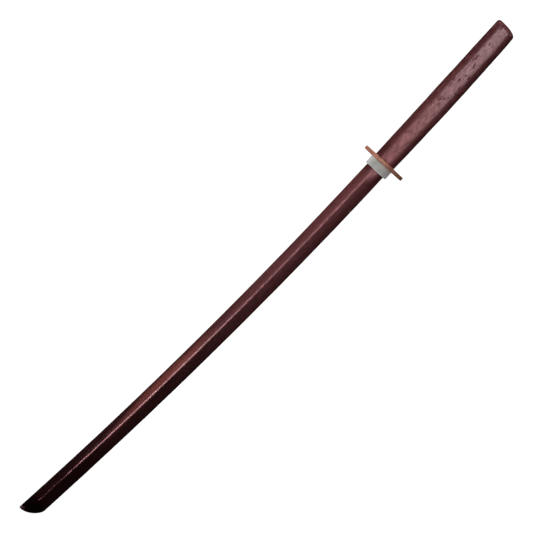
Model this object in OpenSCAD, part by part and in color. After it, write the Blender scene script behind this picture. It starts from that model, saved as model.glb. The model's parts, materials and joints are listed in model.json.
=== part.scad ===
// Curved wooden practice sword lying on its side: one piece of wood shaped into blade and
// handle, a round guard that slides on over the tip up to the handle's shoulder, and a rubber
// stopper ring that holds the guard there.
//
// +X points to the tip, +Y to the cutting edge and +Z out of the side that faces up. The origin
// is at the bottom centre of the whole sword's box, on the guard's lowest point.

/* [Blade] */
// Length along the curve, from the handle's shoulder to the tip
blade_l = 747.5; // [600:0.5:800]
// Height from spine to edge, beside the guard
blade_h = 31.9; // [28:0.1:34]
// Height from spine to edge, towards the tip
tip_h = 29.5; // [24:0.1:31]
// Distance from the shoulder over which the blade's height tapers
taper_l = 600; // [300:10:600]
// Thickness across the side ridges, beside the guard
blade_t = 24; // [20:0.5:26]
// Thickness across the side ridges, at the tip
tip_t = 21; // [17:0.5:24]
// Radius of the blade's curve, at half its height
curve_r = 7830; // [5000:10:20000]
// Distance of the side ridges from the spine, as a share of the height
ridge_at = 0.42; // [0.35:0.01:0.5]
// Thickness of the flat spine
spine_t = 14; // [10:0.5:17]
// Thickness of the blunt edge before it is rounded
edge_t = 8; // [7:0.5:10]
// Length of the point, along which the edge sweeps up to the tip
point_l = 24; // [15:1:60]

/* [Handle] */
// Length of the handle, from its shoulder to its end face
handle_l = 270.5; // [200:0.5:300]
// Height of the handle at its fullest
handle_h = 37.1; // [35.5:0.1:42]
// Height that the handle loses from its middle, where it is fullest, to either end
handle_waist = 1.8; // [0:0.1:2]
// Thickness of the handle
handle_t = 27; // [26:0.5:31]
// Step at the shoulder on the spine side
spine_step = 0.35; // [0.1:0.05:1]
// Angle at the shoulder between the blade's spine and the handle's
handle_turn = 0.25; // [0:0.05:1.5]

/* [Guard and stopper] */
// Diameter of the guard
guard_d = 73; // [66:1:90]
// Thickness of the guard
guard_t = 5.5; // [4.5:0.5:7]
// Radius of the guard's rounded rim
rim_r = 0.8; // [0.5:0.1:2]
// Offset of the guard's centre from its opening, towards the edge
guard_shift = 1.8; // [0:0.1:3]
// Length of the stopper along the blade
stopper_l = 14; // [8:0.5:25]
// Wall thickness of the stopper
stopper_wall = 3.2; // [2:0.1:5]
// Offset of the stopper's outer shape from its opening, towards the edge
stopper_shift = 0.5; // [0:0.1:1]
// Gap between the opening and the fullest part of the blade, all round
opening_gap = 0.25; // [0.2:0.05:0.5]

/* [Hidden] */

// How square the ovals are: 2 is an ellipse, and more is squarer
handle_squareness = 2.9;
root_squareness = 2.7;
opening_squareness = 3;
stopper_squareness = 2.7;

// Rounding of the blade's long corners
spine_r = 3;
ridge_r = 2;
edge_r = 5;

// The oval root that the guard and the stopper sit on, a little slimmer than the blade. It ends
// just past the stopper, and turns into the ridged blade over root_fade.
root_slimmer = 0.4;
root_h = blade_h - root_slimmer;
root_t = blade_t - root_slimmer;
root_past_stopper = 4;
root_fade = 60;
root_end = stopper_l + guard_t + root_past_stopper;
ridge_start = root_end + root_fade;

// Rounding at the tip and at the handle's end
tip_spine_r = 2;
tip_flat = 0.5;
tip_round_l = 5;
end_r = 4.5;
end_edge_h = 18;
end_edge_l = 15;

// Exponents of the two curves that end the edge: at the tip, and at the handle's end
point_curve = [1.5, 1.7];
end_curve = [5.5, 1.45];

// The tip gets thinner along the whole point, and is rounded off over its last few mm: the share
// of the thickness that each leaves, and the exponents of its curve
point_thin = 0.55;
point_thin_curve = [1.5, 1];
tip_thin = 0.3;
tip_thin_curve = [2, 2];

// Points in each outline: corner_n for each of a ridged blade's six corners
corner_n = 5;
outline_n = 6 * corner_n;

// Rounding of the stopper's two lips
lip_r = 1.2;
lip_steps = 3;

// Stations along the sword
blade_step = 25;
root_step = 10;
point_gap = 5;
point_steps = 10;
handle_step = 22;
end_steps = 7;

// Gap that keeps the sliding faces apart
face_gap = 0.1;

function lerp(a, b, s) = a + (b - a) * s;
function ease(s) = let(c = min(1, max(0, s))) c * c * (3 - 2 * c);

// Quarter of a superellipse: rises steeply from 0 at s = 0 to a flat 1 at s = 1
function swell(s, powers) = pow(1 - pow(1 - min(1, max(0, s)), powers[0]), 1 / powers[1]);

// Outlines, as [across, up] points: across runs from the spine to the edge

function bulge(v, squareness) = sign(v) * pow(abs(v), 2 / squareness);

function oval(h, t, squareness) = [
    for (i = [0 : outline_n - 1])
        let(a = 360 * (i - (corner_n - 1) / 2) / outline_n)
        [h / 2 * bulge(cos(a), squareness), t / 2 * bulge(sin(a), squareness)]
];

function unit(v) = v / norm(v);

// Arc of radius r that rounds the corner q on the way from p to s, anticlockwise
function rounded_corner(p, q, s, r) =
    let(
        back = unit(p - q),
        on = unit(s - q),
        half = acos(back * on) / 2,
        centre = q + unit(back + on) * r / sin(half),
        from = q + back * r / tan(half) - centre,
        start = atan2(from.y, from.x)
    )
    [
        for (i = [0 : corner_n - 1])
            let(a = start + (180 - 2 * half) * i / (corner_n - 1))
            centre + r * [cos(a), sin(a)]
    ];

// Blade section with a ridge along each side, a flat spine and a blunt edge
ridged =
    let(
        spine = -blade_h / 2,
        edge = blade_h / 2,
        ridge = spine + ridge_at * blade_h,
        corners = [
            [edge, -edge_t / 2],
            [edge, edge_t / 2],
            [ridge, blade_t / 2],
            [spine, spine_t / 2],
            [spine, -spine_t / 2],
            [ridge, -blade_t / 2]
        ],
        radii = [edge_r, edge_r, ridge_r, spine_r, spine_r, ridge_r],
        count = len(corners)
    )
    [
        for (i = [0 : count - 1])
            each rounded_corner(
                corners[(i + count - 1) % count], corners[i], corners[(i + 1) % count], radii[i]
            )
    ];

root = oval(root_h, root_t, root_squareness);

// Blade section at station a: oval at the root, ridged beyond it
function blade_section(a) =
    let(s = ease((a - root_end) / (ridge_start - root_end)))
    [for (i = [0 : outline_n - 1]) lerp(root[i], ridged[i], s)];

// Blade station at distance a along the curve from the shoulder
function blade_at(a, across, up) =
    let(turn = a / curve_r * 180 / PI, r = curve_r + across)
    [r * sin(turn), r * cos(turn) - curve_r, up];

function blade_ring(a) =
    let(
        to_tip = blade_l - a,
        s = a / blade_l,
        h = lerp(blade_h, tip_h, min(1, a / taper_l)),
        inset = tip_spine_r - sqrt(max(0, pow(tip_spine_r, 2) - pow(max(0, tip_spine_r - to_tip), 2))),
        low = -h / 2 + inset,
        rise = (h - tip_spine_r - tip_flat) * swell(to_tip / point_l, point_curve),
        high = -h / 2 + tip_spine_r + tip_flat + rise,
        thin = lerp(point_thin, 1, swell(to_tip / point_l, point_thin_curve)),
        rounded = lerp(tip_thin, 1, swell(to_tip / tip_round_l, tip_thin_curve)),
        t = lerp(1, tip_t / blade_t, s) * thin * rounded
    )
    [
        for (p = blade_section(a))
            blade_at(a, lerp(low, high, p.x / blade_h + 0.5), p.y * t)
    ];

// Handle, b measured from the shoulder to the end face. The spine side is straight, and the
// edge side swells. The stations turn gradually, so that the end face is square to X.
function handle_spine(b) = -blade_h / 2 - spine_step - b * tan(handle_turn);
function handle_height(b) = handle_h - handle_waist * pow(2 * b / handle_l - 1, 2);

function handle_ring(b) =
    let(
        to_end = handle_l - b,
        inset = end_r - sqrt(max(0, pow(end_r, 2) - pow(max(0, end_r - to_end), 2))),
        edge_inset = end_edge_h * (1 - swell(to_end / end_edge_l, end_curve)),
        low = handle_spine(b) + inset,
        high = handle_spine(b) + handle_height(b) - edge_inset,
        t = handle_t - 2 * inset,
        square = lean * b / handle_l
    )
    [
        for (p = oval(1, t, handle_squareness))
            let(across = lerp(low, high, p.x + 0.5))
            [-b + across * sin(square), across * cos(square), p.y]
    ];

// Angle that levels the spine's two ends
spine_tip = blade_at(blade_l, -tip_h / 2, 0);
lean = atan2(handle_spine(handle_l) - spine_tip.y, handle_l + spine_tip.x);

blade_stations = [
    for (a = [0 : root_step : ridge_start]) a,
    for (a = [ridge_start + blade_step : blade_step : blade_l - point_l - point_gap]) a,
    for (i = [point_steps : -1 : 0]) blade_l - point_l * pow(i / point_steps, 2)
];

handle_stations = [
    for (i = [0 : end_steps]) handle_l - end_edge_l * pow(i / end_steps, 2),
    for (b = [handle_l - end_edge_l - handle_step : -handle_step : handle_step / 2]) b,
    0
];

rings = [
    for (b = handle_stations) handle_ring(b),
    for (a = blade_stations) blade_ring(a)
];

// Places in the row frame, measured from the shoulder on the blade's middle line
function levelled(p) = [p.x * cos(lean) - p.y * sin(lean), p.x * sin(lean) + p.y * cos(lean)];

guard_a = face_gap + guard_t / 2;
guard_centre = levelled(blade_at(guard_a, guard_shift, 0));
end_x = min([for (p = rings[0]) levelled(p).x]);
tip_x = max([for (k = [len(rings) - point_steps : len(rings) - 1], p = rings[k]) levelled(p).x]);
middle = [(end_x + tip_x) / 2, guard_centre.y, -guard_d / 2];

module in_frame() {
    translate(-middle)
        rotate([0, 0, lean])
            children();
}

// Children drawn in the XY plane, with X towards the edge and Z towards the tip, stood up
// across the blade at distance a from the shoulder
module across_blade(a) {
    in_frame()
        translate(blade_at(a, 0, 0))
            rotate([0, 0, -a / curve_r * 180 / PI])
                rotate([90, 0, 90])
                    children();
}

// Closed skin over a row of rings that all have outline_n points
module loft(rings) {
    last = (len(rings) - 1) * outline_n;
    sides = [
        for (k = [0 : len(rings) - 2], i = [0 : outline_n - 1])
            let(
                a = k * outline_n + i,
                b = k * outline_n + (i + 1) % outline_n
            )
            each [[a, b + outline_n, b], [a, a + outline_n, b + outline_n]]
    ];
    first_cap = [for (i = [0 : outline_n - 1]) i];
    last_cap = [for (i = [outline_n - 1 : -1 : 0]) last + i];
    polyhedron([for (r = rings) each r], concat([last_cap, first_cap], sides));
}

module opening(depth) {
    translate([0, 0, -depth])
        linear_extrude(2 * depth)
            polygon(oval(
                blade_h + 2 * opening_gap, blade_t + 2 * opening_gap, opening_squareness
            ));
}

module wood_body() {
    color("#5a2d2d")
        in_frame()
            loft(rings);
}

module guard() {
    color("#a5693f")
        across_blade(guard_a)
            difference() {
                translate([guard_shift, 0, -guard_t / 2])
                    rotate_extrude($fn = 96) {
                        square([guard_d / 2 - rim_r, guard_t]);
                        translate([0, rim_r])
                            square([guard_d / 2, guard_t - 2 * rim_r]);
                        for (z = [rim_r, guard_t - rim_r])
                            translate([guard_d / 2 - rim_r, z])
                                circle(rim_r, $fn = 24);
                    }
                opening(guard_t);
            }
}

module stopper() {
    outer_h = blade_h + 2 * opening_gap + 2 * stopper_wall;
    outer_t = blade_t + 2 * opening_gap + 2 * stopper_wall;
    color("#a0a5a0")
        across_blade(2 * face_gap + guard_t + stopper_l / 2)
            difference() {
                loft([
                    for (side = [-1, 1], k = [0 : lip_steps])
                        let(
                            a = 90 * (side < 0 ? k : lip_steps - k) / lip_steps,
                            inset = lip_r * (1 - sin(a)),
                            z = side * (stopper_l / 2 - lip_r * (1 - cos(a)))
                        )
                        [
                            for (p = oval(outer_h - 2 * inset, outer_t - 2 * inset, stopper_squareness))
                                [p.x + stopper_shift, p.y, z]
                        ]
                ]);
                opening(stopper_l);
            }
}

wood_body();
guard();
stopper();
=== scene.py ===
"""Looks of the curved wooden practice sword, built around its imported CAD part."""

import json
import math

import bpy
import numpy as np
from mathutils import Matrix, Vector


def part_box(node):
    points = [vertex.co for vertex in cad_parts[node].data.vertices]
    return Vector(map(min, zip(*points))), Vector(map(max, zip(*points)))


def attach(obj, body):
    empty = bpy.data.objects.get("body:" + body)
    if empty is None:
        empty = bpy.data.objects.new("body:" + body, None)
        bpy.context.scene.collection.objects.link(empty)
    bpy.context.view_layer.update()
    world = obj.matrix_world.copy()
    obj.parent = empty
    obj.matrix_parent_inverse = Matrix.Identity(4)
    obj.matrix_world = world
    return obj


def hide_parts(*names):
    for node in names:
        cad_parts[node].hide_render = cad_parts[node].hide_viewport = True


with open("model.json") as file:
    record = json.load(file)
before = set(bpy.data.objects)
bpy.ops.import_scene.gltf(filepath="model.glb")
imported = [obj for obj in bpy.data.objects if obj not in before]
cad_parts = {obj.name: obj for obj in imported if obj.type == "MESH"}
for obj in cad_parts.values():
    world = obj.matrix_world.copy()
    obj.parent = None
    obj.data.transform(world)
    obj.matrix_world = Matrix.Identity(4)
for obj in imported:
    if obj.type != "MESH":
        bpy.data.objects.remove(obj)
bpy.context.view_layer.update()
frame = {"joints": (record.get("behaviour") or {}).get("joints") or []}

# Dimensions in metres. "a" runs along the blade's curve from the handle's shoulder to the tip,
# "b" along the handle from its shoulder to its end, "across" from the spine to the edge, and
# "up" out of the side of the blade that faces up.

BLADE_L = 0.7475
BLADE_H, TIP_H, TAPER_L = 0.0319, 0.0295, 0.600
BLADE_T, TIP_T = 0.024, 0.021
RIDGE_AT = 0.42
SPINE_T, EDGE_T = 0.014, 0.008
SPINE_R, EDGE_R = 0.003, 0.005
CRISP_RIDGE_R, SOFT_RIDGE_R = 0.0075, 0.010
SPINE_SIDE_BULGE, CRISP_EDGE_BULGE, SOFT_EDGE_BULGE = 0.0004, 0.00005, 0.0005
RIDGE_SOFT_END, RIDGE_CRISP_START = 0.08, 0.40

ROOT_H, ROOT_T, ROOT_SQUARENESS = 0.0315, 0.0236, 2.7
ROOT_END, RIDGE_START = 0.0190, 0.0500

POINT_L = 0.024
TIP_SPINE_R, TIP_FLAT, TIP_ROUND_L = 0.002, 0.0005, 0.005
POINT_CURVE = (1.5, 1.7)

# Share of the thickness that is left at the end of the point, and over its last few mm, each
# with the exponents of its curve
POINT_THIN, POINT_THIN_CURVE = 0.55, (1.5, 1)
TIP_THIN, TIP_THIN_CURVE = 0.3, (2, 2)

HANDLE_L, HANDLE_H, HANDLE_WAIST, HANDLE_T = 0.2705, 0.0371, 0.0018, 0.027
HANDLE_SQUARENESS = 2.9
SPINE_STEP = 0.00035
HANDLE_TURN = math.radians(0.25)
END_R, END_EDGE_H, END_EDGE_L = 0.0045, 0.018, 0.015
END_CURVE = (5.5, 1.45)
SHOULDER_R = 0.0008

FACE_GAP = 0.0001
GUARD_D, GUARD_T, GUARD_SHIFT, RIM_R = 0.073, 0.0055, 0.0018, 0.0008
OPENING_H, OPENING_T, OPENING_SQUARENESS = 0.0324, 0.0245, 3.0
STOPPER_L, STOPPER_WALL, STOPPER_SQUARENESS, LIP_R = 0.014, 0.0032, 2.7, 0.0012
STOPPER_SHIFT = 0.0005

# The guard's faces: depth of the sunken ring, widths of the rim and of the seat round the
# opening, and width of the slope into the ring
SUNK, RIM_W, SEAT_W, SLOPE_W = 0.00045, 0.0042, 0.0036, 0.0012
# Rounding of the openings' edges, and how much closer the stopper's opening is than the guard's
GUARD_SOFT_R, STOPPER_SOFT_R, STOPPER_CLOSER = 0.0004, 0.0007, 0.0001

# Unevenness left by hand on blade and handle, and the lengths over which it fades in and out
BLADE_UNEVEN, HANDLE_UNEVEN = 0.00010, 0.00016
ROOT_FADE, TIP_FADE, HANDLE_FADE = 0.05, 0.03, 0.02
# Shifts the handle's waves against the blade's
HANDLE_WAVES_FROM = 0.4

# Points on the blade outline's corners and sides, in the order of its corners, and the number
# on each for measuring its radius
ARC_STEPS = [9, 9, 9, 7, 7, 9]
SIDE_STEPS = [4, 14, 9, 6, 9, 14]
FINE_STEPS = [60] * 6

# Stations along the sword, and the gaps kept before the shoulder and the point
END_STEPS, GRIP_STEPS, SHOULDER_STEPS = 26, 100, 6
ROOT_STEPS, BODY_STEPS, POINT_STEPS = 28, 230, 48
SHOULDER_GAP, POINT_GAP = 0.002, 0.002

# Points round the guard and the stopper
GUARD_TURNS, OPENING_TURNS, STOPPER_TURNS = 192, 2000, 120

# The blade's curve is an arc about the joints' far centre, and the guard sits just off the
# handle's shoulder.

far_centre = Vector(frame["joints"][0]["pos_m"])
guard_low, guard_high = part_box("guard")
guard_middle = (guard_low + guard_high) / 2
to_guard = guard_middle - far_centre
CURVE_R = to_guard.length - GUARD_SHIFT
GUARD_A = FACE_GAP + GUARD_T / 2
STOPPER_A = 2 * FACE_GAP + GUARD_T + STOPPER_L / 2
START_ANGLE = math.atan2(to_guard.x, to_guard.y) - GUARD_A / CURVE_R


def lerp(a, b, s):
    return a + (b - a) * s


def ease(s):
    c = np.clip(s, 0.0, 1.0)
    return c * c * (3 - 2 * c)


def swell(s, powers):
    """Quarter of a superellipse: from 0 at s = 0, steeply, to a flat 1 at s = 1."""
    return (1 - (1 - np.clip(s, 0.0, 1.0)) ** powers[0]) ** (1 / powers[1])


def quarter_round(distance, radius):
    """How far a rounded corner of that radius stands back, at a distance from its end face."""
    short = np.clip(radius - distance, 0.0, radius)
    return radius - np.sqrt(radius**2 - short**2)


def quarter_turns(count):
    """That many angles, from 0 to a quarter turn."""
    return [math.pi / 2 * k / (count - 1) for k in range(count)]


def on_blade(a, across, up):
    """Points in the row frame, from arrays of blade coordinates."""
    angle = START_ANGLE + a / CURVE_R
    r = CURVE_R + across
    x = far_centre.x + r * np.sin(angle)
    y = far_centre.y + r * np.cos(angle)
    z = far_centre.z + up + 0 * r
    return np.stack([x, y, z], axis=-1)


def on_handle(b, across, up):
    """Points in the row frame, from arrays of handle coordinates. The stations turn gradually,
    so that the end face is square to X."""
    square = -START_ANGLE * b / HANDLE_L
    along = -b + across * np.sin(square)
    side = across * np.cos(square)
    shoulder = on_blade(0.0, np.zeros(1), np.zeros(1))[0]
    forward = np.array([math.cos(START_ANGLE), -math.sin(START_ANGLE), 0.0])
    outward = np.array([math.sin(START_ANGLE), math.cos(START_ANGLE), 0.0])
    flat = shoulder + along[..., None] * forward + side[..., None] * outward
    flat[..., 2] += up
    return flat


def across_blade(a, across, up, along):
    """Points of a flat piece that stands square across the blade at distance a."""
    angle = START_ANGLE + a / CURVE_R
    centre = on_blade(a, np.zeros(1), np.zeros(1))[0]
    forward = np.array([math.cos(angle), -math.sin(angle), 0.0])
    outward = np.array([math.sin(angle), math.cos(angle), 0.0])
    flat = centre + np.multiply.outer(across, outward) + along * forward
    flat[:, 2] += up
    return flat


# Outlines. Each is a radius in every one of a shared set of directions, so that outlines of
# different shapes blend into each other.


def rounded_polygon(corners, radii, arc_steps, side_steps, bulges):
    """Anticlockwise outline with rounded corners, as points with side_steps[i] of them between
    corner i and the next, on a side that is bulges[i] fuller in its middle."""
    points = []
    count = len(corners)
    arcs = []
    for i in range(count):
        q = np.array(corners[i])
        back = np.array(corners[i - 1]) - q
        on = np.array(corners[(i + 1) % count]) - q
        back, on = back / np.linalg.norm(back), on / np.linalg.norm(on)
        half = math.acos(float(back @ on)) / 2
        middle = back + on
        centre = q + middle / np.linalg.norm(middle) * radii[i] / math.sin(half)
        start = q + back * radii[i] / math.tan(half) - centre
        first = math.atan2(start[1], start[0])
        turn = math.pi - 2 * half
        angles = first + turn * np.linspace(0, 1, arc_steps[i])
        arcs.append(centre + radii[i] * np.stack([np.cos(angles), np.sin(angles)], axis=-1))
    for i in range(count):
        points.extend(arcs[i])
        start, end = arcs[i][-1], arcs[(i + 1) % count][0]
        out = np.array([end[1] - start[1], start[0] - end[0]]) / np.linalg.norm(end - start)
        for k in range(1, side_steps[i] + 1):
            part = k / (side_steps[i] + 1)
            points.append(lerp(start, end, part) + 4 * bulges[i] * part * (1 - part) * out)
    return np.array(points)


def blade_outline(ridge_r, edge_bulge, arc_steps, side_steps):
    ridge = (RIDGE_AT - 0.5) * BLADE_H
    spine, edge = -BLADE_H / 2, BLADE_H / 2
    corners = [
        (edge, -EDGE_T / 2),
        (edge, EDGE_T / 2),
        (ridge, BLADE_T / 2),
        (spine, SPINE_T / 2),
        (spine, -SPINE_T / 2),
        (ridge, -BLADE_T / 2),
    ]
    radii = [EDGE_R, EDGE_R, ridge_r, SPINE_R, SPINE_R, ridge_r]
    bulges = [0.0, edge_bulge, SPINE_SIDE_BULGE, 0.0, SPINE_SIDE_BULGE, edge_bulge]
    return rounded_polygon(corners, radii, arc_steps, side_steps, bulges)


def direction_of(points):
    return np.unwrap(np.arctan2(points[:, 1], points[:, 0]))


def radius_in(points, directions):
    """The outline's radius in each direction."""
    own = direction_of(points)
    radius = np.hypot(points[:, 0], points[:, 1])
    own = np.concatenate([own - 2 * math.pi, own, own + 2 * math.pi])
    return np.interp(directions, own, np.tile(radius, 3))


def oval_radius(h, t, squareness, directions):
    c = np.abs(np.cos(directions)) / (h / 2)
    s = np.abs(np.sin(directions)) / (t / 2)
    return (c**squareness + s**squareness) ** (-1 / squareness)


DIRECTIONS = direction_of(
    blade_outline(CRISP_RIDGE_R, CRISP_EDGE_BULGE, ARC_STEPS, SIDE_STEPS)
)
COS, SIN = np.cos(DIRECTIONS), np.sin(DIRECTIONS)
ROOT = oval_radius(ROOT_H, ROOT_T, ROOT_SQUARENESS, DIRECTIONS)
CRISP = radius_in(
    blade_outline(CRISP_RIDGE_R, CRISP_EDGE_BULGE, FINE_STEPS, FINE_STEPS), DIRECTIONS
)
SOFT = radius_in(
    blade_outline(SOFT_RIDGE_R, SOFT_EDGE_BULGE, FINE_STEPS, FINE_STEPS), DIRECTIONS
)


def hand_finish(along, directions, amplitude):
    """The slight unevenness that planing and sanding by hand leave, as a smooth sum of waves."""
    # Each wave: radians per metre along the sword, waves round the outline, phase and weight
    waves = [
        (61.0, 2, 0.4, 1.0),
        (97.0, 3, 2.1, 0.8),
        (143.0, 1, 4.0, 0.7),
        (205.0, 4, 1.2, 0.45),
        (331.0, 2, 5.3, 0.3),
    ]
    total = 0.0
    for k, turns, phase, weight in waves:
        total = total + weight * np.sin(k * along + turns * directions + phase)
    return amplitude * total / sum(w for _, _, _, w in waves)


def blade_rings(stations):
    """Rings of the blade, from the shoulder to the tip."""
    a = stations[:, None]
    ridged = lerp(SOFT, CRISP, ease((a - RIDGE_SOFT_END) / (RIDGE_CRISP_START - RIDGE_SOFT_END)))
    radius = lerp(ROOT, ridged, ease((a - ROOT_END) / (RIDGE_START - ROOT_END)))
    to_tip = BLADE_L - a
    h = lerp(BLADE_H, TIP_H, np.clip(a / TAPER_L, 0, 1))
    low = -h / 2 + quarter_round(to_tip, TIP_SPINE_R)
    rise = (h - TIP_SPINE_R - TIP_FLAT) * swell(to_tip / POINT_L, POINT_CURVE)
    high = -h / 2 + TIP_SPINE_R + TIP_FLAT + rise
    t = lerp(1, TIP_T / BLADE_T, a / BLADE_L)
    t = t * lerp(POINT_THIN, 1, swell(to_tip / POINT_L, POINT_THIN_CURVE))
    t = t * lerp(TIP_THIN, 1, swell(to_tip / TIP_ROUND_L, TIP_THIN_CURVE))
    fade = ease((a - RIDGE_START) / ROOT_FADE) * ease(to_tip / TIP_FADE)
    radius = radius + fade * hand_finish(a, DIRECTIONS, BLADE_UNEVEN)
    return on_blade(a, lerp(low, high, radius * COS / BLADE_H + 0.5), radius * SIN * t)


def handle_rings(stations):
    """Rings of the handle, from its end to the shoulder."""
    b = stations[:, None]
    to_end = HANDLE_L - b
    inset = quarter_round(to_end, END_R)
    shoulder = quarter_round(b, SHOULDER_R)
    spine = -BLADE_H / 2 - SPINE_STEP - b * math.tan(HANDLE_TURN)
    h = HANDLE_H - HANDLE_WAIST * (2 * b / HANDLE_L - 1) ** 2
    low = spine + inset
    high = spine + h - END_EDGE_H * (1 - swell(to_end / END_EDGE_L, END_CURVE)) - shoulder
    t = 1 - 2 * (inset + shoulder) / HANDLE_T
    # An oval of radius 1, which is then stretched between low and high
    unit = oval_radius(2.0, 2.0, HANDLE_SQUARENESS, DIRECTIONS)
    x, y = unit * COS, unit * SIN
    fade = ease(b / HANDLE_FADE) * ease(to_end / HANDLE_FADE)
    waves = hand_finish(b + HANDLE_WAVES_FROM, DIRECTIONS, HANDLE_UNEVEN)
    grow = 1 + fade * waves / (HANDLE_T / 2)
    middle, half = (low + high) / 2, (high - low) / 2
    return on_handle(b + 0 * x, middle + half * x * grow, HANDLE_T / 2 * t * y * grow)


def mesh_object(name, rings, closed):
    """A skin over rings of equal length, open at both ends or closed into a loop. The open kind
    gets a cap at each end."""
    count, n = rings.shape[0], rings.shape[1]
    faces = []
    for k in range(count if closed else count - 1):
        here, there = k * n, (k + 1) % count * n
        for i in range(n):
            j = (i + 1) % n
            faces.append((here + i, here + j, there + j, there + i))
    if not closed:
        faces.append(tuple(range(n - 1, -1, -1)))
        faces.append(tuple((count - 1) * n + i for i in range(n)))
    mesh = bpy.data.meshes.new(name)
    mesh.from_pydata(rings.reshape(-1, 3).tolist(), [], faces)
    mesh.polygons.foreach_set("use_smooth", [True] * len(mesh.polygons))
    mesh.update()
    made = bpy.data.objects.new(name, mesh)
    bpy.context.scene.collection.objects.link(made)
    return made


def build_wood():
    """Handle and blade in one skin. The rings lie closer together at the end and at the tip."""
    end = HANDLE_L - END_EDGE_L * np.linspace(0, 1, END_STEPS) ** 2
    grip = np.linspace(HANDLE_L - END_EDGE_L, 2 * SHOULDER_GAP, GRIP_STEPS)[1:]
    step = SHOULDER_R * (1 - np.sin(np.linspace(0, math.pi / 2, SHOULDER_STEPS)))
    handle = handle_rings(np.concatenate([end, grip, [SHOULDER_GAP], step]))
    root = np.linspace(0, RIDGE_START, ROOT_STEPS)
    body = np.linspace(RIDGE_START, BLADE_L - POINT_L - POINT_GAP, BODY_STEPS)[1:]
    point = BLADE_L - POINT_L * np.linspace(1, 0, POINT_STEPS) ** 2
    blade = blade_rings(np.concatenate([root, body, point]))
    return mesh_object("wooden_sword", np.concatenate([handle, blade]), closed=False)


def guard_profile(inner, outer):
    """Half of the guard's section, as radii and heights: up the opening's wall, over its soft
    edge, down into the sunken ring, up to the rim and over its rounding."""
    half = GUARD_T / 2
    wall = [(inner, z * half) for z in (-0.6, -0.2, 0.2, 0.6)]
    face = []
    for turn in quarter_turns(5):
        back, down = 1 - math.cos(turn), 1 - math.sin(turn)
        face.append((inner + GUARD_SOFT_R * back, half - GUARD_SOFT_R * down))
    seat, rim = inner + SEAT_W, outer - RIM_W
    face.append((lerp(inner + GUARD_SOFT_R, seat, 0.5), half))
    for s in np.linspace(0, 1, 7):
        face.append((seat + SLOPE_W * s, half - SUNK * ease(s)))
    for s in (0.33, 0.67):
        face.append((lerp(seat + SLOPE_W, rim - SLOPE_W, s), half - SUNK))
    for s in np.linspace(0, 1, 7):
        face.append((rim - SLOPE_W * (1 - s), half - SUNK * (1 - ease(s))))
    face.append((lerp(rim, outer - RIM_R, 0.5), half))
    for turn in quarter_turns(9):
        back, down = 1 - math.sin(turn), 1 - math.cos(turn)
        face.append((outer - RIM_R * back, half - RIM_R * down))
    return wall, face


def build_guard():
    """Disc with a rounded rim, a face that is sunk a little between the rim and the seat round
    the opening, and an opening with softened edges. Both faces are the same."""
    phi = np.linspace(0, 2 * math.pi, GUARD_TURNS, endpoint=False)
    outer = np.full(GUARD_TURNS, GUARD_D / 2)
    # The opening's centre lies off the disc's centre, towards the spine.
    dense = np.linspace(0, 2 * math.pi, OPENING_TURNS, endpoint=False)
    r = oval_radius(OPENING_H, OPENING_T, OPENING_SQUARENESS, dense)
    opening = np.stack([r * np.cos(dense) - GUARD_SHIFT, r * np.sin(dense)], axis=-1)
    wall, face = guard_profile(radius_in(opening, phi), outer)
    far_face = [(radius, -z) for radius, z in reversed(face)]
    rings = []
    for radius, z in wall + face + far_face:
        across = radius * np.cos(phi) + GUARD_SHIFT
        rings.append(across_blade(GUARD_A, across, radius * np.sin(phi), z))
    return mesh_object("guard_disc", np.array(rings), closed=True)


def build_stopper():
    """Ring with rounded lips and a softened opening, the same on both sides of its middle."""
    phi = np.linspace(0, 2 * math.pi, STOPPER_TURNS, endpoint=False)
    h, t = OPENING_H + 2 * STOPPER_WALL, OPENING_T + 2 * STOPPER_WALL
    half = STOPPER_L / 2
    rings = []

    def ring(oval_h, oval_t, squareness, z, shift=0.0):
        r = oval_radius(oval_h, oval_t, squareness, phi)
        rings.append(across_blade(STOPPER_A, r * np.cos(phi) + shift, r * np.sin(phi), z))

    wall = (-0.7, -0.35, 0.0, 0.35, 0.7)
    for z in wall:
        narrow_h, narrow_t = OPENING_H - STOPPER_CLOSER, OPENING_T - STOPPER_CLOSER
        ring(narrow_h, narrow_t, OPENING_SQUARENESS, z * half)
    for turn in quarter_turns(5):
        grow = 2 * STOPPER_SOFT_R * (1 - math.cos(turn))
        z = half - STOPPER_SOFT_R * (1 - math.sin(turn))
        ring(OPENING_H + grow, OPENING_T + grow, OPENING_SQUARENESS, z)
    for turn in quarter_turns(9):
        shrink = 2 * LIP_R * (1 - math.sin(turn))
        z = half - LIP_R * (1 - math.cos(turn))
        ring(h - shrink, t - shrink, STOPPER_SQUARENESS, z, STOPPER_SHIFT)
    for z in (0.5, 0.25):
        ring(h, t, STOPPER_SQUARENESS, z * half, STOPPER_SHIFT)
    near_half = rings[len(wall):]
    ring(h, t, STOPPER_SQUARENESS, 0.0, STOPPER_SHIFT)

    axis_point = np.zeros(1)
    centre = across_blade(STOPPER_A, axis_point, axis_point, 0.0)[0]
    forward = across_blade(STOPPER_A, axis_point, axis_point, 1.0)[0] - centre
    for points in reversed(near_half):
        rings.append(points - 2 * ((points - centre) @ forward)[:, None] * forward)
    return mesh_object("stopper_ring", np.array(rings), closed=True)


# Materials


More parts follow.
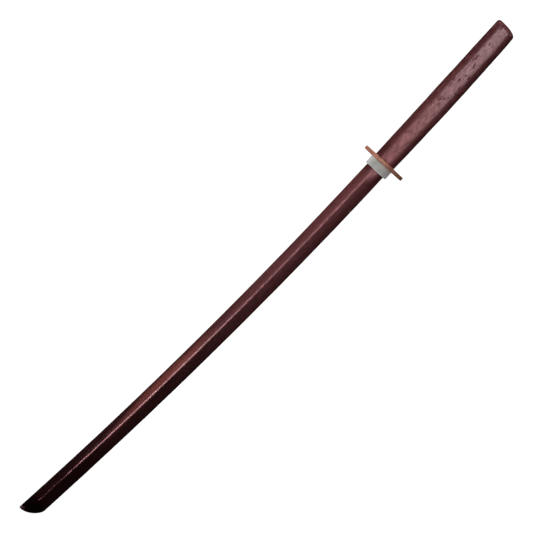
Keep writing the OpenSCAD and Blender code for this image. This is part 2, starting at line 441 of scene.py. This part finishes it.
class Nodes:
    """Shorthand for a material's node tree."""

    def __init__(self, name):
        self.material = bpy.data.materials.new(name)
        self.material.use_nodes = True
        self.tree = self.material.node_tree
        self.shader = self.tree.nodes["Principled BSDF"]

    def node(self, kind, inputs=(), **settings):
        made = self.tree.nodes.new(kind)
        for key, value in settings.items():
            setattr(made, key, value)
        for key, value in dict(inputs).items():
            self.put(value, made.inputs[key])
        return made

    def put(self, value, socket):
        if isinstance(value, bpy.types.NodeSocket):
            self.tree.links.new(value, socket)
        elif isinstance(value, bpy.types.Node):
            self.tree.links.new(value.outputs[0], socket)
        else:
            socket.default_value = value

    def math(self, operation, first, second=0.0, third=0.0):
        return self.node("ShaderNodeMath", {0: first, 1: second, 2: third}, operation=operation)

    def stretched(self, scale, offset=(0.0, 0.0, 0.0)):
        """Object coordinates, scaled."""
        coordinates = self.node("ShaderNodeTexCoord").outputs["Object"]
        return self.node(
            "ShaderNodeMapping", {"Vector": coordinates, "Scale": scale, "Location": offset}
        )

    def noise(self, scale, offset=(0.0, 0.0, 0.0), detail=2.0, roughness=0.5, distortion=0.0):
        return self.node(
            "ShaderNodeTexNoise",
            {
                "Vector": self.stretched(scale, offset),
                "Scale": 1.0,
                "Detail": detail,
                "Roughness": roughness,
                "Distortion": distortion,
            },
        )

    def ramp(self, value, low, high, to_low=0.0, to_high=1.0):
        return self.node(
            "ShaderNodeMapRange",
            {"Value": value, 1: low, 2: high, 3: to_low, 4: to_high},
            interpolation_type="SMOOTHSTEP",
        )

    def blend(self, factor, first, second, mode="MIX"):
        made = self.node("ShaderNodeMix", data_type="RGBA", blend_type=mode)
        self.put(factor, made.inputs[0])
        self.put(first, made.inputs[6])
        self.put(second, made.inputs[7])
        return made.outputs[2]


# Colours of the wood, of the painted shade that darkens it towards the tip and at the point, and of
# the painted highlight that reddens the blade beside the ridge
WOOD_DARK = (0.045, 0.0100, 0.0105, 1)
WOOD_MID = (0.082, 0.0190, 0.0195, 1)
WOOD_LIGHT = (0.125, 0.033, 0.032, 1)
WOOD_PORE = (0.016, 0.005, 0.005, 1)
PAINTED_TIP_SHADE = (0.007, 0.003, 0.0035, 1)
PAINTED_HIGHLIGHT = (0.26, 0.070, 0.054, 1)
PAINTED_POINT_SHADE = (0.002, 0.001, 0.001, 1)

# Middle of the painted highlight: along the sword, and across it beside the ridge
HIGHLIGHT_X, HIGHLIGHT_Y = 0.235, -0.0045


def wood_colour(m, x, y, drift, streaks, flecks, pores):
    """Stained wood, painted shade darkening it towards the tip, and a painted highlight by the
    ridge.
    """
    base = m.blend(m.ramp(drift, 0.33, 0.67), WOOD_DARK, WOOD_LIGHT)
    base = m.blend(0.5, base, WOOD_MID)
    base = m.blend(m.ramp(streaks, 0.40, 0.66, 0.0, 0.55), base, WOOD_LIGHT)
    base = m.blend(m.ramp(flecks, 0.46, 0.64, 0.0, 0.60), base, WOOD_DARK)
    base = m.blend(m.math("MULTIPLY", pores, 0.55), base, WOOD_PORE)
    # The drift makes the borders of the painted shade and of the painted highlight uneven.
    along = m.math("ADD", x, m.math("MULTIPLY_ADD", drift, 0.10, -0.05))
    across = m.math("ADD", y, m.math("MULTIPLY_ADD", drift, 0.02, -0.010))
    # Painted highlight: a lighter, redder patch painted beside the ridge on the blade's middle.
    off_middle = m.math("ABSOLUTE", m.math("SUBTRACT", along, HIGHLIGHT_X))
    off_ridge = m.math("ABSOLUTE", m.math("SUBTRACT", across, HIGHLIGHT_Y))
    near_middle = m.ramp(off_middle, 0.02, 0.14, 1.0, 0.0)
    near_ridge = m.ramp(off_ridge, 0.001, 0.008, 1.0, 0.0)
    painted_highlight = m.math("MULTIPLY", near_middle, near_ridge)
    painted_highlight = m.math("MULTIPLY", painted_highlight, m.ramp(streaks, 0.3, 0.7, 0.45, 0.75))
    # Painted shade: the wood is painted darker from the handle towards the tip, where less light
    # falls.
    base = m.blend(m.ramp(along, -0.35, 0.52, 0.0, 0.84), base, PAINTED_TIP_SHADE)
    return m.blend(painted_highlight, base, PAINTED_HIGHLIGHT)


def wood_roughness(m, x, flecks, spots, point, end_grain):
    """Rough in the spots and on the end grain, and glossier towards the tip."""
    rough = m.math("ADD", m.ramp(flecks, 0.35, 0.65, 0.32, 0.44), m.math("MULTIPLY", spots, 0.42))
    rough = m.math("MULTIPLY", rough, m.ramp(x, 0.0, 0.25, 1.0, 0.62))
    rough = m.math("MULTIPLY", rough, m.ramp(x, 0.33, 0.45, 1.0, 0.35))
    rough = m.math("MULTIPLY", rough, m.math("MULTIPLY_ADD", point, -0.6, 1.0))
    return m.math("MULTIPLY_ADD", end_grain, 0.4, rough)


def wood_lacquer(m, x, flecks, spots, end_grain):
    """Weight of the lacquer: most at the handle's end, some on the blade, none at the tip, in
    the spots or on the end grain."""
    on_handle_end = m.ramp(x, -0.49, -0.24, 1.0, 0.12)
    on_blade_end = m.ramp(x, 0.0, 0.18, 0.0, 0.26)
    lacquer = m.math("ADD", on_handle_end, on_blade_end)
    lacquer = m.math("MULTIPLY", lacquer, m.ramp(flecks, 0.35, 0.65, 1.0, 0.6))
    lacquer = m.math("MULTIPLY", lacquer, m.ramp(x, 0.36, 0.46, 1.0, 0.0))
    bare = m.math("SUBTRACT", m.math("SUBTRACT", 1.0, spots), end_grain)
    return m.math("MULTIPLY", lacquer, bare)


def wood_material():
    """Hardwood with a dark red-brown stain under satin lacquer, its grain along X."""
    m = Nodes("stained_hardwood")
    # Slow drift of the stain, streaks of the grain, short flecks, and dark pores
    drift = m.noise((7.0, 30.0, 30.0), (3.1, 0.7, 0.2), detail=3.0)
    streaks = m.noise(
        (14.0, 380.0, 380.0), (0.3, 1.7, 4.2), detail=4.0, roughness=0.65, distortion=0.4
    )
    flecks = m.noise((150.0, 420.0, 420.0), (1.3, 0.1, 2.2), detail=3.0, roughness=0.6)
    pores = m.ramp(m.noise((70.0, 900.0, 900.0), (5.0, 2.0, 1.0), detail=1.0), 0.57, 0.68)
    place = m.node("ShaderNodeSeparateXYZ", {0: m.stretched((1.0, 1.0, 1.0))})
    x, y = place.outputs["X"], place.outputs["Y"]

    # Painted shade: the last part of the blade is painted nearly black.
    point = m.ramp(x, 0.470, 0.492)
    colour = wood_colour(m, x, y, drift, streaks, flecks, pores)
    colour = m.blend(m.math("MULTIPLY", point, 0.8), colour, PAINTED_POINT_SHADE)
    m.put(colour, m.shader.inputs["Base Color"])

    # Worn spots in the lacquer, mostly on the handle
    spots = m.ramp(m.noise((95.0, 250.0, 250.0), (8.0, 1.0, 3.0), detail=2.0), 0.55, 0.63)
    spots = m.math("MULTIPLY", spots, m.ramp(x, -0.43, -0.26, 1.0, 0.15))
    # Both ends of the sword
    end_grain = m.ramp(m.math("ABSOLUTE", x), 0.5005, 0.5045)
    m.put(wood_roughness(m, x, flecks, spots, point, end_grain), m.shader.inputs["Roughness"])
    m.put(wood_lacquer(m, x, flecks, spots, end_grain), m.shader.inputs["Coat Weight"])

    # The relief of flecks and pores is flatter on the blade, so that the ridge line stays straight.
    height = m.math("SUBTRACT", m.math("MULTIPLY", flecks, 0.8), pores)
    height = m.math("MULTIPLY", height, m.ramp(x, 0.02, 0.30, 1.0, 0.15))
    bump = m.node("ShaderNodeBump", {"Height": height, "Strength": 0.3, "Distance": 0.0003})
    m.put(bump, m.shader.inputs["Normal"])

    m.shader.inputs["IOR"].default_value = 1.7
    m.shader.inputs["Specular IOR Level"].default_value = 0.9
    m.shader.inputs["Specular Tint"].default_value = (1.0, 0.40, 0.44, 1)
    m.shader.inputs["Coat Roughness"].default_value = 0.16
    m.shader.inputs["Coat IOR"].default_value = 1.6
    m.shader.inputs["Coat Tint"].default_value = (0.97, 0.97, 1.0, 1)
    return m.material


def guard_material():
    """Tan-brown plastic, slightly mottled and specked."""
    m = Nodes("guard_plastic")
    mottle = m.noise((160.0, 160.0, 160.0), (1.0, 2.0, 3.0), detail=4.0, roughness=0.6)
    specks = m.noise((900.0, 900.0, 900.0), (4.0, 2.0, 1.0), detail=2.0)
    base = m.blend(m.ramp(mottle, 0.35, 0.65), (0.30, 0.115, 0.07, 1), (0.46, 0.20, 0.13, 1))
    base = m.blend(m.ramp(specks, 0.50, 0.75, 0.0, 0.35), base, (0.20, 0.075, 0.045, 1))
    m.put(base, m.shader.inputs["Base Color"])
    m.put(m.ramp(mottle, 0.3, 0.7, 0.42, 0.55), m.shader.inputs["Roughness"])
    bump = m.node("ShaderNodeBump", {"Height": specks, "Strength": 0.3, "Distance": 0.0002})
    m.put(bump, m.shader.inputs["Normal"])
    return m.material


def rubber_material():
    """Matt light grey rubber."""
    m = Nodes("stopper_rubber")
    cloud = m.noise((90.0, 90.0, 90.0), (2.0, 2.0, 5.0), detail=3.0)
    grain = m.noise((1500.0, 1500.0, 1500.0), (0.0, 3.0, 1.0), detail=2.0)
    base = m.blend(m.ramp(cloud, 0.3, 0.7), (0.60, 0.625, 0.605, 1), (0.74, 0.77, 0.755, 1))
    base = m.blend(m.ramp(grain, 0.45, 0.7, 0.0, 0.25), base, (0.50, 0.515, 0.50, 1))
    m.shader.inputs["Diffuse Roughness"].default_value = 1.0
    m.put(base, m.shader.inputs["Base Color"])
    m.put(m.ramp(cloud, 0.3, 0.7, 0.62, 0.78), m.shader.inputs["Roughness"])
    bump = m.node("ShaderNodeBump", {"Height": grain, "Strength": 0.35, "Distance": 0.0002})
    m.put(bump, m.shader.inputs["Normal"])
    return m.material


PIECES = [
    (build_wood, wood_material, "wood_body", "wood", "stained_wood"),
    (build_guard, guard_material, "guard", "guard", "guard_plastic"),
    (build_stopper, rubber_material, "stopper", "stopper", "stopper_rubber"),
]
for build, material, node, body, slot in PIECES:
    piece = build()
    piece.data.materials.append(material())
    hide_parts(node)
    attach(piece, body)


# Studio


def make_floor():
    """Pale floor that glows evenly, and neither lights the sword nor shows in its gloss."""
    mesh = bpy.data.meshes.new("floor")
    r = 12.0
    mesh.from_pydata([(-r, -r, 0), (r, -r, 0), (r, r, 0), (-r, r, 0)], [], [(0, 1, 2, 3)])
    floor = bpy.data.objects.new("floor", mesh)
    floor.location.z = -0.0005
    bpy.context.scene.collection.objects.link(floor)
    m = Nodes("pale_floor")
    m.shader.inputs["Base Color"].default_value = (0.30, 0.30, 0.30, 1)
    m.shader.inputs["Roughness"].default_value = 0.9
    m.shader.inputs["Specular IOR Level"].default_value = 0.0
    m.shader.inputs["Emission Color"].default_value = (1, 1, 1, 1)
    m.shader.inputs["Emission Strength"].default_value = 0.94
    mesh.materials.append(m.material)
    floor.visible_diffuse = False
    floor.visible_glossy = False


def make_light(name, place, aim, width, length, radiance, spread=180.0):
    """Rectangular softbox, width across the sword and length along it. A spread under 180
    degrees narrows its beam."""
    data = bpy.data.lights.new(name, "AREA")
    data.shape = "RECTANGLE"
    data.size, data.size_y = length, width
    data.energy = radiance * math.pi * width * length
    data.spread = math.radians(spread)
    light = bpy.data.objects.new(name, data)
    light.location = place
    back = (Vector(place) - Vector(aim)).normalized()
    side = Vector((1, 0, 0)) - back * back.x
    side.normalize()
    up = back.cross(side)
    rotation = np.array([side, up, back]).T
    light.rotation_euler = Matrix(rotation.tolist()).to_euler()
    light.visible_camera = False
    bpy.context.scene.collection.objects.link(light)


def make_world():
    """Dark surroundings with a white band at the horizon, which the gloss doesn't show."""
    world = bpy.data.worlds.new("studio")
    world.use_nodes = True
    tree = world.node_tree
    coordinates = tree.nodes.new("ShaderNodeTexCoord")
    split = tree.nodes.new("ShaderNodeSeparateXYZ")
    level = tree.nodes.new("ShaderNodeValToRGB")
    tree.links.new(coordinates.outputs["Generated"], split.inputs[0])
    upright = tree.nodes.new("ShaderNodeMath")
    upright.operation = "MULTIPLY_ADD"
    upright.inputs[1].default_value, upright.inputs[2].default_value = 0.5, 0.5
    tree.links.new(split.outputs["Z"], upright.inputs[0])
    tree.links.new(upright.outputs[0], level.inputs[0])
    # White behind the floor's far edge, dark above and below it.
    dark, white = (0.02, 0.02, 0.02, 1), (1, 1, 1, 1)
    stops = [(0.0, dark), (0.490, dark), (0.495, white), (0.535, white), (0.56, dark)]
    for z, _ in stops[1:-1]:
        level.color_ramp.elements.new(z)
    for element, (z, colour) in zip(level.color_ramp.elements, stops):
        element.position, element.color = z, colour
    tree.links.new(level.outputs[0], tree.nodes["Background"].inputs["Color"])
    bpy.context.scene.world = world
    world.cycles_visibility.glossy = False


def make_camera():
    """Straight down on the side of the sword, with the tip at the bottom left."""
    height, shown = 16.0, 0.7912
    middle_x, middle_y, turn = -0.0038, -0.0164, 134.51
    data = bpy.data.cameras.new("camera")
    data.sensor_width = 36.0
    data.lens = data.sensor_width * height / shown
    camera = bpy.data.objects.new("camera", data)
    camera.location = (middle_x, middle_y, far_centre.z + height)
    camera.rotation_euler = (0, 0, math.radians(turn))
    data.clip_end = 100.0
    bpy.context.scene.collection.objects.link(camera)
    bpy.context.scene.camera = camera


make_floor()
# Two softboxes straight above: a broad one over the handle and half of the blade, and a strip
# for the ridge line. Then three narrowed ones from low down: two on the spine side, and one on
# the edge side of the handle.
make_light("overhead", (-0.27, 0.15, 4.5), (-0.27, 0.15, 0), 3.64, 1.10, 2.35)
make_light("ridge_strip", (0.26, 0.0, 4.5), (0.26, 0.0, 0), 1.26, 0.20, 29.0)
make_light("spine_tip", (1.3, -1.2, 0.6), (-0.16, 0.0, 0), 0.35, 0.35, 2.7, spread=34.0)
make_light("spine_end", (-1.6, -1.2, 0.6), (0.05, 0.0, 0), 0.35, 0.35, 3.9, spread=40.0)
make_light("handle_side", (-1.3, 0.9, 0.8), (-0.30, 0.0, 0), 1.0, 1.0, 0.22, spread=46.0)
make_world()
make_camera()
bpy.context.scene.view_settings.view_transform = "Standard"
